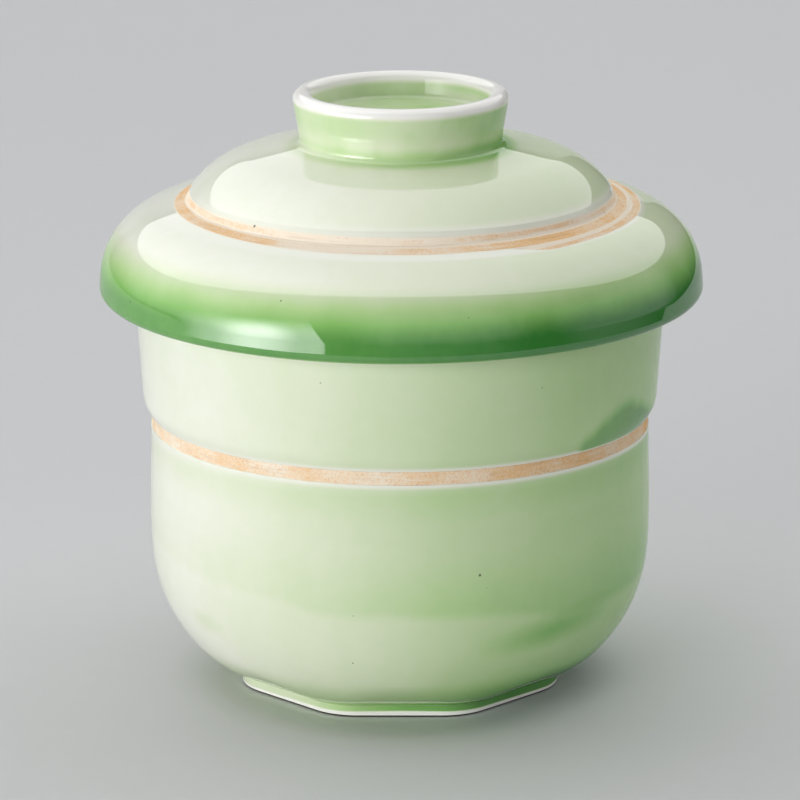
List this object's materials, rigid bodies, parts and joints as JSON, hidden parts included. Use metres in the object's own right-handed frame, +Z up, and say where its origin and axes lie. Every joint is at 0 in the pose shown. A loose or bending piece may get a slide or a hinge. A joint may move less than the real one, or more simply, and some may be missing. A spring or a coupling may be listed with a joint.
{
  "type": "chawanmushi cup with lid",
  "caption": "Lidded porcelain cup for steamed egg custard: round bowl on an octagonal foot, loose domed lid with a ring knob, pale green glaze with bare tan lines.",
  "frame": {"origin": "on the cup's axis, at the level of the table that the foot stands on", "axes": "+Z points up along the axis of cup and lid; one flat side of the octagonal foot faces -Y, which is the side the picture is taken from; +X is to the right"},
  "size_m": [0.0914, 0.0914, 0.0909],
  "materials": {
    "celadon_porcelain": "glossy translucent pale green glaze over white porcelain, darker where it pools, bare and tan in thin lines, white on the foot's standing edge"
  },
  "bodies": {
    "root": {"cup": "celadon_porcelain", "lid": "celadon_porcelain"}
  },
  "joints": []
}
